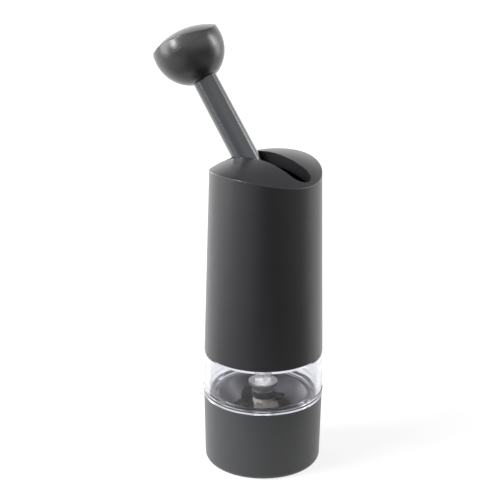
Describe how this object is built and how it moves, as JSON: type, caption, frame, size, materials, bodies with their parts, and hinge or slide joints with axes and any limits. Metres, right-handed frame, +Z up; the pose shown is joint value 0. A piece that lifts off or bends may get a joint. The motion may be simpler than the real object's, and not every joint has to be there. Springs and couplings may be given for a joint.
{
  "type": "spice mill",
  "caption": "Upright spice mill: a round knob on a swinging lever turns a ratchet-driven shaft and conical burrs below a clear ring.",
  "frame": {"origin": "on the body axis, in the plane of the foot ring that the mill stands on", "axes": "+Z up along the body; X along the lever slot, with the lever leaning to -X at rest; the filler door is at the back, +Y"},
  "size_m": [0.0897, 0.0582, 0.2118],
  "materials": {
    "shell_plastic": "satin moulded dark charcoal plastic",
    "clear_plastic": "clear moulded plastic",
    "dark_plastic": "smooth black plastic",
    "grey_plastic": "plain moulded plastic",
    "gear_plastic": "unpainted moulded gear plastic",
    "steel": "bright drawn steel",
    "brass": "turned brass",
    "ceramic": "fired ceramic, fine and matt",
    "rubber": "soft black rubber"
  },
  "bodies": {
    "mill_body": {"base_cup": "shell_plastic", "clear_ring": "clear_plastic", "outer_shell": "shell_plastic", "mechanism_frame": "grey_plastic", "floor_seal": "rubber", "frame_screws": "steel", "upper_bush": "brass", "pivot_axle": "steel", "axle_clips": "steel", "axle_spacer": "grey_plastic", "door_pin": "steel", "grinder_housing": "dark_plastic", "housing_screws": "steel"},
    "lever": {"lever_arm": "shell_plastic", "knob_bowl": "shell_plastic", "knob_cap": "shell_plastic", "knob_screw": "steel", "drive_sector": "gear_plastic", "sector_pins": "steel"},
    "pinion": {"crown_pinion": "gear_plastic"},
    "shaft": {"drive_shaft": "steel", "shaft_clips": "steel", "shaft_sleeve": "steel", "ratchet_spring": "steel", "shaft_collar": "steel", "feed_impeller": "dark_plastic", "rotor_cone": "ceramic"},
    "ratchet": {"ratchet_disc": "gear_plastic"},
    "door": {"filler_door": "shell_plastic"},
    "burr_seat": {"burr_carrier": "grey_plastic", "stator_ring": "ceramic", "lower_bush": "brass"},
    "adjuster": {"adjuster_ring": "dark_plastic"}
  },
  "joints": [
    {"name": "lever_swing", "type": "hinge", "parent": "mill_body", "child": "lever", "pos_m": [0, 0, 0.1371], "axis": [0, 1, 0], "range_deg": [-14, 86]},
    {"name": "shaft_spin", "type": "hinge", "parent": "mill_body", "child": "shaft", "pos_m": [0, 0, 0.1], "axis": [0, 0, 1], "range_deg": [-21, 129]},
    {"name": "pinion_spin", "type": "hinge", "parent": "mill_body", "child": "pinion", "pos_m": [0, 0, 0.12], "axis": [0, 0, 1], "range_deg": [-21, 129]},
    {"name": "ratchet_slip", "type": "slide", "parent": "shaft", "child": "ratchet", "axis": [0, 0, 1], "range_m": [-0.00135, 0], "stiffness_N_per_m": 400, "springref_m": 0.003, "deforming": ["ratchet_spring"]},
    {"name": "door_swing", "type": "hinge", "parent": "mill_body", "child": "door", "pos_m": [-0.0106, 0.02472, 0.078], "axis": [0, 0, 1], "range_deg": [0, 100]},
    {"name": "burr_lift", "type": "slide", "parent": "mill_body", "child": "burr_seat", "axis": [0, 0, 1], "range_m": [-0.0005, 0.0005]},
    {"name": "adjuster_turn", "type": "hinge", "parent": "burr_seat", "child": "adjuster", "pos_m": [0, 0, 0.005], "axis": [0, 0, 1], "range_deg": [-90, 90]}
  ],
  "couplings": [
    {"joint": "shaft_spin", "follows": "lever_swing", "ratio": 1.5},
    {"joint": "pinion_spin", "follows": "lever_swing", "ratio": 1.5},
    {"joint": "burr_lift", "follows": "adjuster_turn", "m_per_rad": 0.00031831}
  ]
}
